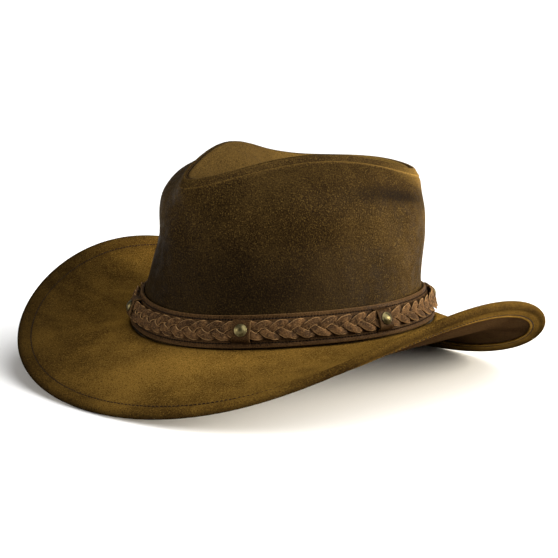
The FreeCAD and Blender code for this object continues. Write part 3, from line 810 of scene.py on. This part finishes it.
class Look:
    """A procedural material being put together, sampled in metres over the object."""

    def __init__(self, name, roughness, specular=0.5, metallic=0.0):
        self.material = bpy.data.materials.new(name)
        self.material.use_nodes = True
        self.tree = self.material.node_tree
        self.shader = self.tree.nodes["Principled BSDF"]
        self.shader.inputs["Roughness"].default_value = roughness
        self.shader.inputs["Specular IOR Level"].default_value = specular
        self.shader.inputs["Metallic"].default_value = metallic
        self.place = self.tree.nodes.new("ShaderNodeTexCoord").outputs["Object"]

    def noise(self, size, detail=3.0, stretch=(1, 1, 1), roughness=0.55):
        """Noise with features of about a size in millimetres."""
        mapping = self.tree.nodes.new("ShaderNodeMapping")
        mapping.inputs["Scale"].default_value = [1 / s for s in stretch]
        self.tree.links.new(self.place, mapping.inputs["Vector"])
        made = self.tree.nodes.new("ShaderNodeTexNoise")
        made.inputs["Scale"].default_value = 1 / (size * MM)
        made.inputs["Detail"].default_value = detail
        made.inputs["Roughness"].default_value = roughness
        self.tree.links.new(mapping.outputs["Vector"], made.inputs["Vector"])
        return made.outputs["Fac"]

    def wear_and_shading(self):
        # the per-point mark of wear and of painted light and shade
        made = self.tree.nodes.new("ShaderNodeAttribute")
        made.attribute_name = "wear_and_shading"
        return made.outputs["Fac"]

    def between(self, value, low, high, to_low=0.0, to_high=1.0):
        """A value's range mapped smoothly onto another."""
        made = self.tree.nodes.new("ShaderNodeMapRange")
        made.interpolation_type = "SMOOTHSTEP"
        self.tree.links.new(value, made.inputs["Value"])
        for socket, number in zip(("From Min", "From Max", "To Min", "To Max"),
                                  (low, high, to_low, to_high)):
            made.inputs[socket].default_value = number
        return made.outputs["Result"]

    def mix(self, share, first, second):
        """Colours or sockets mixed by a share."""
        made = self.tree.nodes.new("ShaderNodeMix")
        made.data_type = "RGBA"
        self.tree.links.new(share, made.inputs[0])
        for socket, value in ((made.inputs[6], first), (made.inputs[7], second)):
            if isinstance(value, tuple):
                socket.default_value = (*value, 1.0)
            else:
                self.tree.links.new(value, socket)
        return made.outputs[2]

    def colour(self, value):
        self.tree.links.new(value, self.shader.inputs["Base Color"])

    def rough(self, value):
        self.tree.links.new(value, self.shader.inputs["Roughness"])

    def relief(self, *layers):
        """Fine bumps from (value, height in millimetres) layers."""
        normal = None
        for value, height in layers:
            made = self.tree.nodes.new("ShaderNodeBump")
            made.inputs["Distance"].default_value = height * MM
            self.tree.links.new(value, made.inputs["Height"])
            if normal is not None:
                self.tree.links.new(normal, made.inputs["Normal"])
            normal = made.outputs["Normal"]
        self.tree.links.new(normal, self.shader.inputs["Normal"])


SHADE_AND_HOLE_COLOUR = (0.003, 0.002, 0.0015)    # for the darker marks: painted shade in holes, gaps, creases and tucked stretches, a painted shadow on the brim, and darker leather


def leather(name, dark, light, speck, lighter_tone, roughness=0.66, specular=0.03):
    """Oiled nubuck: cloudy colour and fine light and dark specks, lightened for rubbed edges and
    painted light, darkened for holes, darker leather and painted shade.
    """
    look = Look(name, roughness, specular=specular)
    cloud = look.between(look.noise(42, 3), 0.3, 0.72)
    patches = look.noise(7, 4)
    fine = look.noise(0.8, 2, roughness=0.7)
    base = look.mix(cloud, dark, light)
    base = look.mix(look.between(patches, 0.42, 0.8, 0.0, 0.4), base, light)
    # lighter for rubbed edges and painted light
    base = look.mix(look.between(look.wear_and_shading(), 0.05, 0.9, 0.0, 0.92), base, lighter_tone)
    base = look.mix(look.between(fine, 0.52, 0.72, 0.0, 0.7), base, speck)
    base = look.mix(look.between(fine, 0.5, 0.3, 0.0, 0.9), base, tuple(c * 0.25 for c in dark))
    # darker for holes, darker leather and painted shade
    base = look.mix(look.between(look.wear_and_shading(), -0.05, -0.8, 0.0, 0.95), base, SHADE_AND_HOLE_COLOUR)
    look.colour(base)
    mottle = look.between(patches, 0.3, 0.72)
    look.rough(look.between(mottle, 0.0, 1.0, roughness - 0.1, roughness + 0.1))
    look.relief((look.noise(3.2, 3), 0.12), (fine, 0.16))
    return look.material


def suede(name, dark, light, lighter_tone):
    """Rough split suede with a nap and frayed, lighter edges."""
    look = Look(name, 0.85, specular=0.08)
    fibres = look.noise(1.0, 3, stretch=(1, 1, 0.6), roughness=0.75)
    patches = look.noise(5, 3)
    base = look.mix(look.between(patches, 0.35, 0.68), dark, light)
    base = look.mix(look.between(fibres, 0.52, 0.75, 0.0, 0.6), base, lighter_tone)
    base = look.mix(look.between(fibres, 0.5, 0.3, 0.0, 0.95), base, tuple(c * 0.3 for c in dark))
    base = look.mix(look.between(look.wear_and_shading(), 0.2, 1.0, 0.0, 0.8), base, lighter_tone)
    # darker where the lace is tucked under, as painted shade
    base = look.mix(look.between(look.wear_and_shading(), -0.05, -0.8, 0.0, 0.95), base, SHADE_AND_HOLE_COLOUR)
    look.colour(base)
    look.relief((patches, 0.4), (fibres, 0.4))
    return look.material


def thread(name, dark, light):
    """Twisted thread."""
    look = Look(name, 0.8, specular=0.04)
    twist = look.noise(0.35, 2)
    look.colour(look.mix(look.between(twist, 0.35, 0.7), dark, light))
    look.relief((twist, 0.08))
    return look.material


def felt(name, dark, light):
    """Matted or woven fibres, for the layers inside."""
    look = Look(name, 0.9, specular=0.2)
    fibres = look.noise(0.7, 4, stretch=(2, 1, 1))
    look.colour(look.mix(look.between(fibres, 0.35, 0.7), dark, light))
    look.relief((fibres, 0.2))
    return look.material


def metal(name, dark, light, lighter_tone, roughness):
    """Aged metal, darker in patches and finely scratched."""
    look = Look(name, roughness, metallic=1.0)
    patches = look.between(look.noise(2.5, 4), 0.35, 0.68)
    scratches = look.noise(0.5, 2, stretch=(6, 1, 1))
    base = look.mix(patches, dark, light)
    base = look.mix(look.between(scratches, 0.6, 0.75, 0.0, 0.5), base, lighter_tone)
    look.colour(base)
    look.rough(look.between(patches, 0.0, 1.0, roughness - 0.04, roughness + 0.06))
    look.relief((scratches, 0.006))
    return look.material


def plastic(name, dark, light):
    """Smooth, slightly cloudy plastic."""
    look = Look(name, 0.45)
    look.colour(look.mix(look.between(look.noise(4, 3), 0.4, 0.6), dark, light))
    look.relief((look.noise(0.6, 2), 0.02))
    return look.material


crown_leather = leather("crown_leather", (0.014, 0.0075, 0.0022), (0.034, 0.0195, 0.0055),
                        (0.1, 0.062, 0.016), (0.18, 0.106, 0.026), roughness=0.6, specular=0.01)
brim_leather = leather("brim_leather", (0.06, 0.031, 0.0062), (0.165, 0.09, 0.0165),
                       (0.27, 0.16, 0.033), (0.2, 0.12, 0.03), specular=0.0)
under_leather = leather("under_leather", (0.015, 0.0074, 0.003), (0.028, 0.015, 0.006),
                        (0.05, 0.028, 0.011), (0.12, 0.07, 0.035), roughness=0.8, specular=0.0)
sweat_leather = leather("sweat_leather", (0.1, 0.05, 0.02), (0.17, 0.09, 0.04),
                        (0.2, 0.11, 0.05), (0.22, 0.13, 0.06), roughness=0.5, specular=0.2)
strap_leather = leather("strap_leather", (0.024, 0.0118, 0.0044), (0.052, 0.027, 0.01),
                        (0.09, 0.049, 0.019), (0.085, 0.047, 0.018), roughness=0.55, specular=0.02)
lace_suede = suede("lace_suede", (0.028, 0.0135, 0.0048), (0.088, 0.0435, 0.0155),
                   (0.31, 0.18, 0.075))
seam_thread = thread("seam_thread", (0.02, 0.011, 0.004), (0.05, 0.028, 0.01))
dark_thread = thread("dark_thread", (0.006, 0.004, 0.003), (0.022, 0.014, 0.01))
tape_weave = felt("tape", (0.03, 0.02, 0.01), (0.08, 0.055, 0.03))
interlining_felt = felt("interlining", (0.08, 0.06, 0.04), (0.2, 0.16, 0.11))
spring_steel = metal("steel", (0.2, 0.2, 0.2), (0.5, 0.5, 0.5), (0.6, 0.6, 0.6), 0.35)
reed_plastic = plastic("reed_plastic", (0.4, 0.37, 0.28), (0.55, 0.52, 0.42))
antique_brass = metal("antique_brass", (0.07, 0.058, 0.024), (0.13, 0.106, 0.048),
                      (0.26, 0.21, 0.12), 0.38)

# ---------------------------------------------------------------- the hat

crown_side()
crown_tip()
crown_stitches()
back_stitches()
brim_top()
brim_under()
brim_stitches()
sweatband()
sweatband_stitches()
strap()
strap_stitches()
for strand in range(3):
    lace(strand)
rivets()

INNER_LOOKS = {
    "crown_back_tape": (tape_weave, "tape"),
    "brim_interlining": (interlining_felt, "interlining"),
    "brim_edge_wire": (spring_steel, "steel"),
    "brim_wire_ferrule": (spring_steel, "steel"),
    "sweatband_reed": (reed_plastic, "reed_plastic"),
    "rivet_posts": (antique_brass, "antique_brass"),
}
for node, (material, slot) in INNER_LOOKS.items():
    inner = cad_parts[node]
    inner.data.materials.clear()
    inner.data.materials.append(material)

# ---------------------------------------------------------------- floor, light and camera


def pale_floor():
    """A plain floor that reaches far past the picture."""
    mesh = bpy.data.meshes.new("Floor")
    half = 80.0
    mesh.from_pydata([(-half, -half, 0), (half, -half, 0), (half, half, 0), (-half, half, 0)],
                     [], [(0, 1, 2, 3)])
    floor = bpy.data.objects.new("Floor", mesh)
    look = Look("floor", 0.9, specular=0.1)
    look.colour(look.mix(look.noise(300, 2), (0.9, 0.9, 0.9), (0.93, 0.93, 0.93)))
    mesh.materials.append(look.material)
    bpy.context.scene.collection.objects.link(floor)


def soft_light(name, toward, distance, size, power, tint=(1, 1, 1)):
    """A square soft light in a direction from the hat, shining at it."""
    data = bpy.data.lights.new(name, "AREA")
    data.size = size
    data.energy = power
    data.color = tint
    lamp = bpy.data.objects.new(name, data)
    direction = Vector(toward).normalized()
    lamp.location = direction * distance
    lamp.rotation_euler = direction.to_track_quat("Z", "Y").to_euler()
    bpy.context.scene.collection.objects.link(lamp)


def key_sun(toward, strength, width):
    """Even light from one side and above; a wide one leaves only a soft shadow."""
    data = bpy.data.lights.new("Key", "SUN")
    data.energy = strength
    data.angle = math.radians(width)
    lamp = bpy.data.objects.new("Key", data)
    lamp.rotation_euler = Vector(toward).to_track_quat("Z", "Y").to_euler()
    bpy.context.scene.collection.objects.link(lamp)


def sky(strength):
    """Plain white light from all round."""
    world = bpy.data.worlds.new("World")
    world.use_nodes = True
    world.node_tree.nodes["Background"].inputs["Color"].default_value = (1, 1, 1, 1)
    world.node_tree.nodes["Background"].inputs["Strength"].default_value = strength
    bpy.context.scene.world = world


CAMERA_AZIMUTH = 43.193
CAMERA_ELEVATION = 9.564
CAMERA_ROLL = 2.127
CAMERA_LENS = 121.86
CAMERA_DISTANCE = 1.2517
CAMERA_AIM = (-0.00592, 0.00618, 0.06358)


def camera():
    """The camera, circling from the front of the hat towards the wearer's left."""
    azimuth, elevation = math.radians(CAMERA_AZIMUTH), math.radians(CAMERA_ELEVATION)
    back = Vector((math.sin(azimuth) * math.cos(elevation),
                   -math.cos(azimuth) * math.cos(elevation), math.sin(elevation)))
    data = bpy.data.cameras.new("Camera")
    data.lens = CAMERA_LENS
    data.sensor_width = 36.0
    made = bpy.data.objects.new("Camera", data)
    turn = back.to_track_quat("Z", "Y").to_matrix().to_4x4()
    roll = Matrix.Rotation(math.radians(CAMERA_ROLL), 4, "Z")
    place = Matrix.Translation(Vector(CAMERA_AIM) + back * CAMERA_DISTANCE)
    made.matrix_world = place @ turn @ roll
    bpy.context.scene.collection.objects.link(made)
    bpy.context.scene.camera = made


pale_floor()
sky(0.22)
key_sun((0.7, 0.25, 0.72), 4.8, width=75)
soft_light("Left", (-0.5, -0.95, 0.3), 1.6, 0.4, 11, (1.0, 0.95, 0.88))
soft_light("Right", (0.9, 0.8, 0.25), 1.5, 0.7, 62, (1.0, 0.9, 0.72))
camera()
bpy.context.scene.view_settings.view_transform = "Standard"
